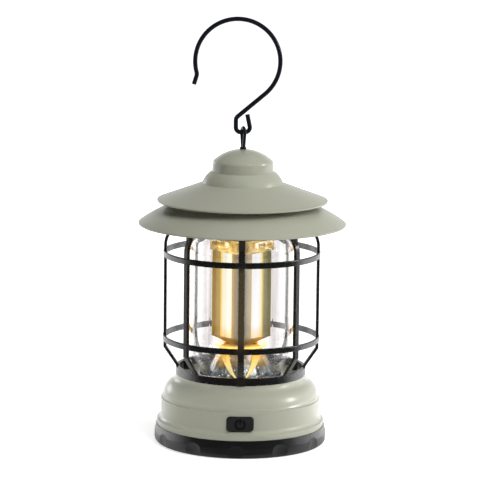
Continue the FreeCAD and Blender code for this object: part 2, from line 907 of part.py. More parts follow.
def make_cage_rib(number, angle):
    """Round-edged bar, bent in at the head and slanted in to the foot ring."""
    body = doc.addObject("PartDesign::Body", "cage_rib_%d" % number)
    rib_inner = sizes.cage_radius - sizes.rib_thickness
    arc_centre = sizes.cage_radius - sizes.rib_sweep
    sketch = new_sketch(body, "rib_outline_%d" % number)
    draw(sketch, [
        (sizes.rib_foot_radius - sizes.foot_ring_thickness, foot_top),
        (sizes.rib_foot_radius, foot_top),
        (sizes.cage_radius, sizes.rib_bend_level),
        (sizes.cage_radius, sizes.rib_straight_top),
        (arc_centre, head_level, sizes.rib_sweep, 1),
        (sizes.rib_end_radius, head_level),
        (sizes.rib_end_radius, ring_top),
        (arc_centre, ring_top),
        (rib_inner, sizes.rib_straight_top, sizes.rib_sweep - sizes.rib_thickness, -1),
        (rib_inner, sizes.rib_bend_level + sizes.rib_thickness / 3),
    ])
    bar = body.newObject("PartDesign::Pad", "rib_bar_%d" % number)
    bar.Profile = sketch
    bar.Midplane = True
    bind(bar, Length=sizes.rib_width)
    doc.recompute()
    faces = bar.Shape.Faces
    flanks = sorted(range(len(faces)), key=lambda item: flank_area(faces[item]))[-2:]
    sides = ["Face%d" % (item + 1) for item in flanks]
    rounded(body, bar, "rib_round_%d" % number, sides, sizes.rib_edge)
    ring_notch(body, "lower_notch_%d" % number, sizes.lower_ring_level)
    ring_notch(body, "upper_notch_%d" % number, sizes.upper_ring_level)
    body.Placement = Placement(Vector(), Rotation(Vector(0, 0, 1), angle))
    return body


def flank_area(face):
    """Area of a face as seen along Y; the two flanks of a rib have the most."""
    return face.Area * abs(face.normalAt(0, 0).y)


def make_ring(label, level):
    """Hoop with rounded outer edges, lapped into the ribs."""
    half = sizes.ring_height / 2
    edge = sizes.ring_edge
    return turned(label, [
        (ring_inner, level - half),
        (ring_outer - edge, level - half),
        (ring_outer, level - half + edge, edge, 1),
        (ring_outer, level + half - edge),
        (ring_outer - edge, level + half, edge, 1),
        (ring_inner, level + half),
    ])


def make_ring_joint():
    """Lap plate over the closed ends of the foot ring, below the front rib."""
    half = sizes.joint_width / 2
    front = sizes.rib_foot_radius + sizes.lap_slip
    return box("ring_joint_plate", (-half, half), (-(front + sizes.joint_thickness), -front),
               (sizes.deck_level, foot_top))


def plain_ring(label, inner, outer, low, high):
    return turned(label, [(inner, low), (outer, low), (outer, high), (inner, high)])


# Head, brims and dome

bolt_hole = sizes.bolt_radius + sizes.lap_slip
lower_deck_under = sizes.lower_brim_top - sizes.brim_thickness
neck_under = sizes.neck_level - sizes.brim_thickness


def make_lamp_head():
    """Black holder that closes the lens and carries the brims."""
    return turned("lamp_head", [
        (ZERO, head_plug_level),
        (sizes.head_plug_radius, head_plug_level),
        (sizes.head_plug_radius, head_level),
        (sizes.head_radius, head_level),
        (sizes.head_radius, head_level + sizes.head_plate),
        (sizes.head_hub_radius, head_level + sizes.head_plate),
        (sizes.head_hub_radius, lower_deck_under),
        (bolt_hole, lower_deck_under),
        (bolt_hole, lower_deck_under - sizes.bolt_depth),
        (ZERO, lower_deck_under - sizes.bolt_depth),
    ])


def brim_rim(radius, level):
    """Short upright lip at the edge of a brim, with its lower corner rounded."""
    foot = level - sizes.brim_lip
    edge = sizes.brim_edge
    return [
        (radius - sizes.brim_thickness, foot),
        (radius - edge, foot),
        (radius, foot + edge, edge, 1),
        (radius, level),
    ]


def make_lower_shade():
    """Wide painted brim with a flat crown and a rolled rim."""
    thick = sizes.brim_thickness
    return turned("lower_shade", brim_rim(sizes.lower_brim_radius, sizes.lower_brim_level) + [
        (sizes.lower_brim_knee, sizes.lower_brim_knee_level, sizes.lower_brim_sweep, 1),
        (sizes.lower_brim_top_radius, sizes.lower_brim_top),
        (bolt_hole, sizes.lower_brim_top),
        (bolt_hole, lower_deck_under),
        (sizes.lower_brim_top_radius - thick / 2, lower_deck_under),
        (sizes.lower_brim_knee - thick / 2, sizes.lower_brim_knee_level - thick),
    ])


def make_upper_shade():
    """Narrower brim whose neck carries the dome."""
    thick = sizes.brim_thickness
    return turned("upper_shade", brim_rim(sizes.upper_brim_radius, sizes.upper_brim_level) + [
        (sizes.upper_brim_knee, sizes.upper_brim_knee_level),
        (sizes.neck_radius, sizes.neck_level, sizes.neck_sweep, 1),
        (sizes.neck_hole, sizes.neck_level),
        (sizes.neck_hole, neck_under),
        (sizes.neck_radius - thick, neck_under),
        (sizes.upper_brim_knee - thick / 2, sizes.upper_brim_knee_level - thick, sizes.neck_sweep, -1),
    ])


def make_shade_spacer():
    """Boss between the two brims."""
    return plain_ring("shade_spacer", bolt_hole, sizes.spacer_radius, sizes.lower_brim_top, neck_under)


def make_centre_bolt():
    """Bolt through the spacer and the lower brim into the lamp head."""
    bottom = lower_deck_under - sizes.bolt_depth
    head = rod("bolt_head", sizes.bolt_head_radius, (ZERO, ZERO, neck_under), sizes.bolt_head_height)
    shank = rod("bolt_shank", sizes.bolt_radius, (ZERO, ZERO, bottom), neck_under - bottom)
    return joined("centre_bolt", [head, shank])


def make_dome():
    """Cap over the neck, with a round hole for the swivel eye."""
    wall = sizes.dome_wall
    hole = sizes.shank_radius + sizes.pivot_slip
    spigot = sizes.neck_hole - sizes.lap_slip
    crown_drop = hole * hole / (sizes.dome_sweep * 2)
    body = turned("dome_cap", [
        (spigot - wall, sizes.neck_level - sizes.dome_spigot),
        (spigot, sizes.neck_level - sizes.dome_spigot),
        (spigot, sizes.neck_level),
        (sizes.dome_radius, sizes.neck_level),
        (sizes.dome_shoulder_radius, sizes.dome_shoulder),
        (hole, sizes.dome_top - crown_drop, sizes.dome_sweep, 1),
        (hole, sizes.dome_top - wall),
        (sizes.dome_shoulder_radius - wall, sizes.dome_shoulder - wall / 2, sizes.dome_sweep, -1),
        (spigot - wall, sizes.neck_level + wall),
    ])
    doc.recompute()
    cap = body.Tip
    rims = [index for index, edge in enumerate(cap.Shape.Edges, start=1) if is_dome_shoulder(edge)]
    rounded(body, cap, "dome_shoulder_round", ["Edge%d" % index for index in rims], sizes.dome_edge)
    return body


def is_dome_shoulder(edge):
    """Whether an edge is the outer circle between the dome's wall and its crown."""
    spot = edge.valueAt(edge.FirstParameter)
    level_off = abs(spot.z - sizes.dome_shoulder.number)
    radius_off = abs(math.hypot(spot.x, spot.y) - sizes.dome_shoulder_radius.number)
    return isinstance(edge.Curve, Part.Circle) and max(level_off, radius_off) < sizes.lap_slip.number


# Swivel eye and hook, bent from round wire

def tangent_spot(point, centre, radius, side):
    """Where a straight run from a point touches a circle; side 1 is the left-hand touch."""
    span = centre - point
    turn = side * math.asin(radius / span.Length)
    reach = math.sqrt(span.Length ** 2 - radius ** 2)
    heading = math.atan2(span.z, span.x) + turn
    return point + Vector(math.cos(heading), 0, math.sin(heading)) * reach


def on_circle(centre, radius, degrees):
    angle = math.radians(degrees)
    return centre + Vector(math.cos(angle), 0, math.sin(angle)) * radius


def arc_edge(centre, radius, first, last):
    """Arc in the XZ plane between two angles in degrees."""
    spots = [on_circle(centre, radius, angle) for angle in (first, (first + last) / 2, last)]
    return Part.Arc(*spots).toShape()


def line_edge(start, end):
    return Part.LineSegment(start, end).toShape()


def bent_run(points, bend):
    """Straight runs through points with every inner corner bent to one radius."""
    edges = []
    start = points[0]
    for before, corner, after in zip(points, points[1:], points[2:]):
        inward = (before - corner).normalize()
        outward = (after - corner).normalize()
        half = inward.getAngle(outward) / 2
        reach = bend / math.tan(half)
        middle = (inward + outward).normalize()
        apex = corner + middle * (bend / math.sin(half) - bend)
        first, last = corner + inward * reach, corner + outward * reach
        edges.append(line_edge(start, first))
        edges.append(Part.Arc(first, apex, last).toShape())
        start = last
    edges.append(line_edge(start, points[-1]))
    return edges


def swept_wire(edges, radius):
    """Round wire along joined edges, checked by its length."""
    path = Part.Wire(edges)
    start = path.Edges[0].valueAt(path.Edges[0].FirstParameter)
    heading = path.Edges[0].tangentAt(path.Edges[0].FirstParameter)
    section = Part.Wire(Part.makeCircle(radius, start, heading))
    solid = path.makePipeShell([section], True, False)
    expected = math.pi * radius ** 2 * path.Length
    print("wire of %.1f mm, volume over section times length %.4f" % (path.Length, solid.Volume / expected))
    return solid


def make_eye():
    """Wire eye standing on a shank that swivels in the dome's hole."""
    bend = sizes.eye_bend.number
    centre = Vector(0, 0, (sizes.eye_top - sizes.eye_wire - sizes.eye_bend).number)
    gather = (sizes.shank_radius - sizes.eye_wire).number
    foot = (sizes.shank_top - sizes.eye_wire).number
    right_foot, left_foot = Vector(gather, 0, foot), Vector(-gather, 0, foot)
    right = tangent_spot(right_foot, centre, bend, -1)
    left = tangent_spot(left_foot, centre, bend, 1)
    start = math.degrees(math.atan2(right.z - centre.z, right.x))
    loop = swept_wire([
        line_edge(right_foot, right),
        arc_edge(centre, bend, start, 180 - start),
        line_edge(left, left_foot),
    ], sizes.eye_wire.number)
    bottom = sizes.shank_bottom.number
    rise = sizes.shank_top.number - bottom
    shank = Part.makeCylinder(sizes.shank_radius.number, rise, Vector(0, 0, bottom))
    eye = doc.addObject("Part::Feature", "swivel_eye")
    eye.Shape = shank.fuse(loop).removeSplitter()
    eye.Placement = Placement(Vector(), Rotation(Vector(0, 0, 1), sizes.eye_turn.number))
    return eye


def make_eye_nut():
    """Collar on the shank that holds the eye under the crown."""
    top = sizes.dome_top - sizes.dome_wall - sizes.slip * 3
    return plain_ring("eye_nut", sizes.shank_radius + sizes.pivot_slip, sizes.eye_nut_radius,
                      top - sizes.eye_nut_height, top)


def make_hook():
    """Open hanging hook with a small closed loop through the eye."""
    half = sizes.hook_loop_half.number
    pivot = sizes.hook_pivot.number
    bend = sizes.hook_loop_bend.number
    centre = Vector(sizes.hook_centre_x.number, 0, sizes.hook_centre_z.number)
    radius = sizes.hook_radius.number
    shoulder = Vector(-half, 0, sizes.hook_loop_top.number)
    touch = tangent_spot(shoulder, centre, radius, -1)
    loop = bent_run([
        Vector(half / 2, 0, sizes.hook_loop_end.number),
        Vector(half, 0, pivot),
        Vector(-half, 0, pivot),
        shoulder,
        touch,
    ], bend)
    leave = sizes.hook_open_angle.number
    first = math.degrees(math.atan2(touch.z - centre.z, touch.x - centre.x))
    bow = arc_edge(centre, radius, first, leave)
    tip_bend = sizes.hook_tip_bend.number
    tip_centre = on_circle(centre, radius + tip_bend, leave)
    tip_end = leave - 180 - sizes.hook_tip_turn.number
    tip_arc = arc_edge(tip_centre, tip_bend, leave - 180, tip_end)
    tip_start = on_circle(tip_centre, tip_bend, tip_end)
    heading = on_circle(Vector(), sizes.hook_tip_length.number, tip_end - 90)
    tip = line_edge(tip_start, tip_start + heading)
    wire = swept_wire(loop + [bow, tip_arc, tip], sizes.hook_wire.number)
    hook = doc.addObject("Part::Feature", "hook")
    hook.Shape = wire
    hook.Placement = Placement()
    return hook


def build():
    pieces = [
        make_base_cover(),
        make_cover_seal(),
        make_base_housing(),
        make_power_button(),
        make_switch(),
        make_switch_board(),
        make_board_bracket(),
        make_battery_tray(),
        make_tray_screws(),
        make_contact_plates(),
        make_contact_springs(),
        make_lens(),
        make_lens_seal("lens_foot_seal", sizes.lens_foot_radius, sizes.deck_level),
        make_lens_seal("lens_head_seal", sizes.lens_top_radius, sizes.lens_top),
        make_led_column(),
        make_light_sleeve(),
        make_crystal_cap(),
        make_reflector(),
        make_reflector_rim(),
        make_ring("cage_lower_ring", sizes.lower_ring_level),
        make_ring("cage_upper_ring", sizes.upper_ring_level),
        plain_ring("cage_foot_ring", sizes.rib_foot_radius - sizes.foot_ring_thickness, sizes.rib_foot_radius,
                   sizes.deck_level, foot_top),
        make_ring_joint(),
        plain_ring("cage_top_ring", sizes.head_plug_radius + sizes.slip, sizes.cage_radius - sizes.rib_sweep,
                   ring_top - sizes.top_ring_height, ring_top),
        make_lamp_head(),
        make_lower_shade(),
        make_shade_spacer(),
        make_centre_bolt(),
        make_upper_shade(),
        make_dome(),
        make_eye(),
        make_eye_nut(),
        make_hook(),
    ]
    pieces += [make_battery_cell(row) for row in cell_rows]
    pieces += [make_led_strip(number) for number in range(1, 5)]
    for number, angle in enumerate(even_angles(sizes.rib_count), start=1):
        pieces.append(make_cage_rib(number, angle))
    return pieces


def check(pieces):
    """Stop before writing if any feature failed or any piece has no valid solid."""
    doc.recompute()
    for item in doc.Objects:
        if {"Invalid", "Error"} & set(item.State):
            raise RuntimeError("%s failed: %s" % (item.Label, item.State))
    for piece in pieces:
        shape = piece.Shape
        if shape.isNull() or not shape.isValid() or not shape.Solids:
            raise RuntimeError("%s has no valid solid" % piece.Label)


def write(pieces):
    os.makedirs("parts", exist_ok=True)
    for piece in pieces:
        piece.Shape.exportStep(os.path.join("parts", piece.Label + ".step"))
        print("%s: %d solid(s), %.1f mm3" % (piece.Label, len(piece.Shape.Solids), piece.Shape.Volume))


pieces = build()
check(pieces)
write(pieces)
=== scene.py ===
# %% [markdown]
# # Dressing a camping lantern
# The solids of the lantern arrive as a fixed frame: every piece already has its real size and place.
# This lesson gives each piece its finish, adds the small forms that are easier to model than to engineer,
# and then sets up a plain studio with a long lens.

# %% Load the frame
import math
import bpy
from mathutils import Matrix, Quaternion, Vector


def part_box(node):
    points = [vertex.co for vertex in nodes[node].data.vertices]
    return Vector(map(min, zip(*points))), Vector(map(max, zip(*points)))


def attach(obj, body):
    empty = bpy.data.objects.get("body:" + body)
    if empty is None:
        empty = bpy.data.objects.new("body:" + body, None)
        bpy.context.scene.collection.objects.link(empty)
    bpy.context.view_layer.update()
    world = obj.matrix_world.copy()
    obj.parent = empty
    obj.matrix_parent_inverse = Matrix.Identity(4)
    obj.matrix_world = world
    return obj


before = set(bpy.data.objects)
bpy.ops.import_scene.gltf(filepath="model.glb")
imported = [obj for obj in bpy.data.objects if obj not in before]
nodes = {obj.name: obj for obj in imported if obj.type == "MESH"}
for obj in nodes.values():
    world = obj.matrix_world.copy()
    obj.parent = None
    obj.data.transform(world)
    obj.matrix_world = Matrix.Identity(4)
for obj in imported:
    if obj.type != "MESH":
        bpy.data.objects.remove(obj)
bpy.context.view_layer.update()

MM = 0.001

# %% [markdown]
# A material is a graph of nodes. Clicking one together is quick; writing one out takes many lines that look
# alike. So one helper feeds a socket with a link or a plain value, one adds a node with all its inputs, and
# one gives the result of a Math node.

# %% Node helpers
def feed(tree, socket, value):
    """Link a socket to another one, or set a plain value on it."""
    if isinstance(value, bpy.types.NodeSocket):
        tree.links.new(value, socket)
    else:
        socket.default_value = value


def feed_all(tree, node, inputs):
    for name, value in inputs.items():
        feed(tree, node.inputs[name], value)


def add_node(tree, kind, inputs=None, **settings):
    """A shader node with its settings and its inputs."""
    node = tree.nodes.new("ShaderNode" + kind)
    for name, value in settings.items():
        setattr(node, name, value)
    feed_all(tree, node, inputs or {})
    return node


def calculated(tree, operation, *values, clamp=False):
    """The result of one Math node."""
    node = add_node(tree, "Math", operation=operation, use_clamp=clamp)
    for socket, value in zip(node.inputs, values):
        feed(tree, socket, value)
    return node.outputs[0]


print("node helpers are ready")

# %% [markdown]
# Paint, plastic and rubber all share one thing: they are never perfectly even. A node group makes that
# unevenness once. It shifts the tone in broad soft patches, varies the gloss, and puts out a fine height
# for a bump. Each material then places the group with its own numbers.

# %% A shared finish group
def make_finish_group():
    group = bpy.data.node_groups.new("uneven_finish", "ShaderNodeTree")
    face = group.interface
    face.new_socket("Color", in_out="INPUT", socket_type="NodeSocketColor")
    for name in ("Tone", "Roughness", "Spread", "Patch Scale", "Grain Scale"):
        face.new_socket(name, in_out="INPUT", socket_type="NodeSocketFloat")
    face.new_socket("Color", in_out="OUTPUT", socket_type="NodeSocketColor")
    for name in ("Roughness", "Height"):
        face.new_socket(name, in_out="OUTPUT", socket_type="NodeSocketFloat")
    given = group.nodes.new("NodeGroupInput").outputs
    place = add_node(group, "TexCoord").outputs["Object"]
    patch = add_node(group, "TexNoise", {"Vector": place, "Scale": given["Patch Scale"], "Detail": 3.0})
    grain = add_node(group, "TexNoise", {"Vector": place, "Scale": given["Grain Scale"], "Detail": 2.0})
    centred = calculated(group, "SUBTRACT", patch.outputs["Fac"], 0.5)
    tone = calculated(group, "MULTIPLY_ADD", centred, given["Tone"], 1.0)
    gloss = calculated(group, "MULTIPLY_ADD", centred, given["Spread"], given["Roughness"])
    shade = add_node(group, "HueSaturation", {"Color": given["Color"], "Value": tone})
    feed_all(group, group.nodes.new("NodeGroupOutput"), {
        "Color": shade.outputs["Color"], "Roughness": gloss, "Height": grain.outputs["Fac"]})
    return group


finish_group = make_finish_group()
print("group", finish_group.name, "is ready")

# %% [markdown]
# Most materials here are one Principled shader fed by that group and a bump. A single function builds them,
# and the numbers that are the same all over a surface, such as the coat, are set straight on the shader.

# %% Material helpers
GRAIN_DEPTH = 0.1 * MM


def new_material(name):
    material = bpy.data.materials.new(name)
    material.use_nodes = True
    return material


def graph_of(material):
    """A material's node tree and its shader."""
    return material.node_tree, material.node_tree.nodes["Principled BSDF"]


def finished(name, color, rough, spread=0.08, tone=0.06, patch=60, grain=2500, bump=0.05,
             metallic=0.0, index=1.5, coat=0.0, coat_rough=0.1):
    """A material with uneven tone and gloss and a fine bump."""
    material = new_material(name)
    tree, shader = graph_of(material)
    uneven = add_node(tree, "Group", {
        "Color": (*color, 1), "Tone": tone, "Roughness": rough, "Spread": spread,
        "Patch Scale": patch, "Grain Scale": grain}, node_tree=finish_group).outputs
    relief = add_node(tree, "Bump", {"Height": uneven["Height"], "Strength": bump, "Distance": GRAIN_DEPTH})
    feed_all(tree, shader, {
        "Base Color": uneven["Color"], "Roughness": uneven["Roughness"], "Normal": relief.outputs["Normal"],
        "Metallic": metallic, "IOR": index, "Coat Weight": coat, "Coat Roughness": coat_rough})
    return material


def dress(material, *names):
    """Give CAD nodes a material."""
    for name in names:
        piece = nodes[name]
        piece.data.materials.clear()
        piece.data.materials.append(material)
    print(material.name, "on", len(names), "pieces")


def matching(start):
    return [name for name in nodes if name.startswith(start)]


print("cage pieces to dress:", len(matching("cage_")))

# %% [markdown]
# The dome, the brims and the base housing wear one pale sage paint: smooth, satin, a little softer in gloss
# here and there. One plain colour would look like cut paper, so the finish group makes it uneven. The dome
# and the base are glossier: a stronger coat there gives soft highlights and pale flanks.

# %% Sage paint
SAGE = (0.385, 0.392, 0.310)
sage_satin = finished("sage_satin", SAGE, 0.42, spread=0.06, tone=0.04, patch=45, grain=3200, bump=0.04,
                      coat=0.35, coat_rough=0.18)
sage_gloss = finished("sage_gloss", SAGE, 0.40, spread=0.06, tone=0.04, patch=45, grain=3200, bump=0.03,
                      coat=0.9, coat_rough=0.14)
dress(sage_satin, "upper_shade", "lower_shade")
dress(sage_gloss, "dome_cap", "base_housing")

# %% [markdown]
# The guard cage is black coated metal with a slightly hammered skin, so its rings break the light up. The
# dents could be modelled, but they are so shallow that a bump shows them as well. The base cover is moulded
# black plastic, finer in grain, and the hook is smooth coated wire. A high index of refraction gives the
# cage and the cover their strong sheen.

# %% Black finishes
BLACK = (0.005, 0.005, 0.006)
cage_black = finished("cage_black", BLACK, 0.26, spread=0.2, tone=0.3, patch=300, grain=640, bump=0.45,
                      index=2.0)
cover_black = finished("cover_black", BLACK, 0.24, spread=0.1, tone=0.2, patch=120, grain=2600, bump=0.1,
                       index=2.5)
wire_black = finished("wire_black", (0.007, 0.009, 0.014), 0.24, spread=0.1, tone=0.2, patch=200, grain=1800,
                      index=1.45)
rubber = finished("button_rubber", (0.021, 0.021, 0.022), 0.55, spread=0.1, tone=0.2, patch=400, grain=4000,
                  bump=0.2, index=1.25)
sign_black = finished("sign_black", (0.003, 0.003, 0.003), 0.4, spread=0.1, tone=0.2, grain=4000, index=1.2)
dress(cover_black, "base_cover", "lamp_head", "shade_spacer")
dress(wire_black, "hook", "swivel_eye")
dress(rubber, "power_button", "cover_seal", "lens_foot_seal", "lens_head_seal")

# %% [markdown]
# The clear and the glowing parts change colour from place to place. A picture could be wrapped round them,
# but then it would need a map of each piece. A small group measures instead how far a point lies to the side
# of the lantern's middle, which side it is on, how high it is and how far from the axis. Ramps then turn
# these measures into colours.

# %% A group that measures places
SIDE_BLEND = 1 * MM
GLOW_FOOT = 40 * MM
GLOW_HEAD = 120 * MM


def ranged(tree, source, low, high, low_gives=0.0, high_gives=1.0, curve="LINEAR"):
    """A value stretched from one range to another and held at both ends."""
    inputs = {"Value": source, "From Min": low, "From Max": high, "To Min": low_gives, "To Max": high_gives}
    return add_node(tree, "MapRange", inputs, interpolation_type=curve).outputs["Result"]


def make_place_group():
    group = bpy.data.node_groups.new("place_measures", "ShaderNodeTree")
    for name in ("Aside", "Right", "Height", "Radius"):
        group.interface.new_socket(name, in_out="OUTPUT", socket_type="NodeSocketFloat")
    place = add_node(group, "TexCoord").outputs["Object"]
    axis = add_node(group, "SeparateXYZ", {"Vector": place}).outputs
    flat = add_node(group, "CombineXYZ", {"X": axis["X"], "Y": axis["Y"]})
    reach = add_node(group, "VectorMath", operation="LENGTH")
    feed(group, reach.inputs[0], flat.outputs["Vector"])
    feed_all(group, group.nodes.new("NodeGroupOutput"), {
        "Aside": calculated(group, "ABSOLUTE", axis["X"]),
        "Right": ranged(group, axis["X"], -SIDE_BLEND, SIDE_BLEND),
        "Height": ranged(group, axis["Z"], GLOW_FOOT, GLOW_HEAD),
        "Radius": reach.outputs["Value"]})
    return group


place_group = make_place_group()


def measures(tree):
    return add_node(tree, "Group", node_tree=place_group).outputs


print("group", place_group.name, "is ready")

# %% [markdown]
# A ramp turns a measure into a colour, and a Mix node joins two colours. Both come up again and again, so
# each gets a helper, and plain greys are written by their level.

# %% Colour helpers
WHITE = (1.0, 1.0, 1.0)
DARK = (0.0, 0.0, 0.0)


def grey(level):
    return (level, level, level)


def color_ramp(tree, source, stops):
    """A colour that follows a value through (position, colour) stops."""
    ramp = add_node(tree, "ValToRGB", {"Fac": source})
    elements = ramp.color_ramp.elements
    for (position, color), element in zip((stops[0], stops[-1]), elements):
        element.position, element.color = position, (*color, 1)
    for position, color in stops[1:-1]:
        elements.new(position).color = (*color, 1)
    return ramp.outputs["Color"]


def blended(tree, blend, color, other, factor=1.0):
    """Two colours mixed, multiplied or added; the factor says how much of it is used."""
    inputs = {"Factor": factor, "A": color, "B": other}
    return add_node(tree, "Mix", inputs, data_type="RGBA", blend_type=blend).outputs["Result"]


print("colour helpers are ready")

# %% [markdown]
# The cage bars that stand before the column take on a little of its amber light. Bounced light could show
# that, but it is so faint that it would drown in noise. So it is painted by the same measures, as a weak
# emission.

# %% Amber light on the cage
AMBER_REACH = 10 * MM


def add_amber(material):
    tree, shader = graph_of(material)
    spot = measures(tree)
    near = color_ramp(tree, ranged(tree, spot["Aside"], 0.0, AMBER_REACH), [
        (0.2, (0.050, 0.038, 0.016)), (0.5, DARK)])
    along = color_ramp(tree, spot["Height"], [
        (0.28, grey(0.1)), (0.40, WHITE), (0.88, WHITE), (0.93, grey(0.1))])
    feed_all(tree, shader, {
        "Emission Color": blended(tree, "MULTIPLY", near, along), "Emission Strength": 1.0})


add_amber(cage_black)
dress(cage_black, "ring_joint_plate", *matching("cage_"))

# %% [markdown]
# Clear parts use transmission. Light has to reach what is inside, and glass that blocks shadow rays leaves
# its contents dark, so the Light Path node lets shadow rays pass straight through. The square sleeve round
# the column is the plainest of these parts: it is thin and bends the light only a little.

# %% Clear plastics
def show_mix(tree, output, factor, first, second):
    """Send one shader or the other to an output."""
    mix = add_node(tree, "MixShader")
    for socket, source in zip(mix.inputs, (factor, first, second)):
        feed(tree, socket, source)
    feed(tree, output.inputs["Surface"], mix.outputs["Shader"])


def clear(name, tint, index):
    material = new_material(name)
    tree, shader = graph_of(material)
    feed_all(tree, shader, {
        "Base Color": (*tint, 1), "Transmission Weight": 1.0, "Roughness": 0.0, "IOR": index})
    shadow_ray = add_node(tree, "LightPath").outputs["Is Shadow Ray"]
    through = add_node(tree, "BsdfTransparent").outputs["BSDF"]
    show_mix(tree, tree.nodes["Material Output"], shadow_ray, shader.outputs["BSDF"], through)
    return material


sleeve_clear = clear("sleeve_clear", (0.99, 0.98, 0.95), 1.16)
dress(sleeve_clear, "light_sleeve")

# %% [markdown]
# The lens is a clear barrel with faint upright streaks: noise that is stretched along Z tints it a little.
# Soft grey bands are painted shade for what its thick wall bends out of sight. A warm line at the flanks
# and a faint light in its thick foot are painted glow, an emission. Refraction alone would look too clean.

# %% Streaked lens
LENS_REACH = 32 * MM


def stretched_noise(tree, scale, detail):
    """Noise on the piece's own coordinates, with its own scale along X, Y and Z."""
    place = add_node(tree, "TexCoord").outputs["Object"]
    squash = add_node(tree, "Mapping", {"Vector": place, "Scale": scale})
    noise = add_node(tree, "TexNoise", {"Vector": squash.outputs["Vector"], "Scale": 1.0, "Detail": detail})
    return noise.outputs["Fac"]


def add_streaks(material):
    """Upright streaks and bands of painted shade tint a clear tube; its flanks and foot get painted glow."""
    tree, shader = graph_of(material)
    spot = measures(tree)
    across = ranged(tree, spot["Aside"], 0.0, LENS_REACH)
    streaks = color_ramp(tree, stretched_noise(tree, (170, 170, 4), 3.0), [
        (0.40, (0.80, 0.79, 0.78)), (0.54, WHITE)])
    # painted shade: soft grey bands stand for what the thick wall bends out of sight
    bands = color_ramp(tree, across, [
        (0.0, WHITE), (0.53, WHITE), (0.56, (0.85, 0.83, 0.84)), (0.70, (0.87, 0.85, 0.86)), (0.74, WHITE),
        (0.85, WHITE), (0.88, (0.86, 0.86, 0.87)), (0.92, (0.90, 0.90, 0.92)), (0.94, WHITE)])
    # painted glow: a warm line at the flanks and a faint light in the thick foot, given as emission
    painted_flank_glow = color_ramp(tree, across, [(0.94, DARK), (0.965, (0.9, 0.52, 0.10)), (1.0, (0.5, 0.26, 0.04))])
    painted_foot_glow = color_ramp(tree, spot["Height"], [(0.14, (0.03, 0.032, 0.034)), (0.22, DARK)])
    feed_all(tree, shader, {
        "Base Color": blended(tree, "MULTIPLY", streaks, bands),
        "Emission Color": blended(tree, "ADD", painted_flank_glow, painted_foot_glow), "Emission Strength": 0.4})


lens_clear = clear("lens_clear", WHITE, 1.42)
add_streaks(lens_clear)
dress(lens_clear, "lens")

# %% [markdown]
# The block on top of the sleeve is the same clear plastic with a rippled skin. It catches amber sparks from
# the strips below. Real sparks would need very many light paths, so they are painted as a spotty emission
# that stays near the strips.

# %% Clear block
COLUMN_REACH = 18 * MM
RIPPLE_DEPTH = 0.6 * MM


def sparkling_block():
    material = clear("cap_clear", (1.0, 0.96, 0.86), 1.4)
    tree, shader = graph_of(material)
    specks = stretched_noise(tree, (150, 150, 150), 2.0)
    ripple = add_node(tree, "Bump", {"Height": specks, "Strength": 0.6, "Distance": RIPPLE_DEPTH})
    sparks = color_ramp(tree, specks, [
        (0.44, (0.03, 0.02, 0.0)), (0.56, (0.6, 0.36, 0.04)), (0.66, (1.0, 0.72, 0.2))])
    near = color_ramp(tree, ranged(tree, measures(tree)["Aside"], 0.0, COLUMN_REACH), [
        (0.1, grey(0.6)), (0.5, WHITE), (0.9, grey(0.1))])
    feed_all(tree, shader, {
        "Normal": ripple.outputs["Normal"],
        "Emission Color": blended(tree, "MULTIPLY", sparks, near), "Emission Strength": 0.7})
    return material


dress(sparkling_block(), "crystal_cap")

# %% [markdown]
# The light strips burn out to warm white in the middle; their outer edges keep a strong yellow and the inner
# ones a thin line of it. Their feet turn amber, and on the right the light looks a little cooler. One even
# emission would lose all of that, so ramps across and along the strips colour it.

# %% Glowing strips
STRIP_INNER = 5.7 * MM
STRIP_OUTER = 12.7 * MM
COOLER = (0.74, 0.79, 1.03, 1)


def strip_glow():
    material = new_material("strip_glow")
    tree, shader = graph_of(material)
    spot = measures(tree)
    glow = color_ramp(tree, ranged(tree, spot["Aside"], STRIP_INNER, STRIP_OUTER), [
        (0.0, (1.0, 0.62, 0.10)), (0.06, (1.0, 0.91, 0.70)), (0.3, (1.0, 0.96, 0.82)),
        (0.74, (1.0, 0.94, 0.76)), (0.85, (1.0, 0.78, 0.22)), (0.92, (1.0, 0.68, 0.05)),
        (1.0, (1.0, 0.64, 0.04))])
    glow = blended(tree, "MULTIPLY", glow, COOLER, spot["Right"])
    foot = color_ramp(tree, spot["Height"], [(0.31, (1.0, 0.66, 0.22)), (0.40, WHITE)])
    feed_all(tree, shader, {
        "Base Color": (0.12, 0.11, 0.08, 1), "Roughness": 0.5,
        "Emission Color": blended(tree, "MULTIPLY", glow, foot), "Emission Strength": 1.1})
    return material


dress(strip_glow(), *matching("led_strip_"))

# %% [markdown]
# The column behind the strips is satin metal in their light. Its outer bands are golden on the left and
# olive on the right, the inner bands run from brown at the front edge to cream beside the strips, and both
# ends fall off. The glow of the strips is painted as a weak emission, which stays free of noise.

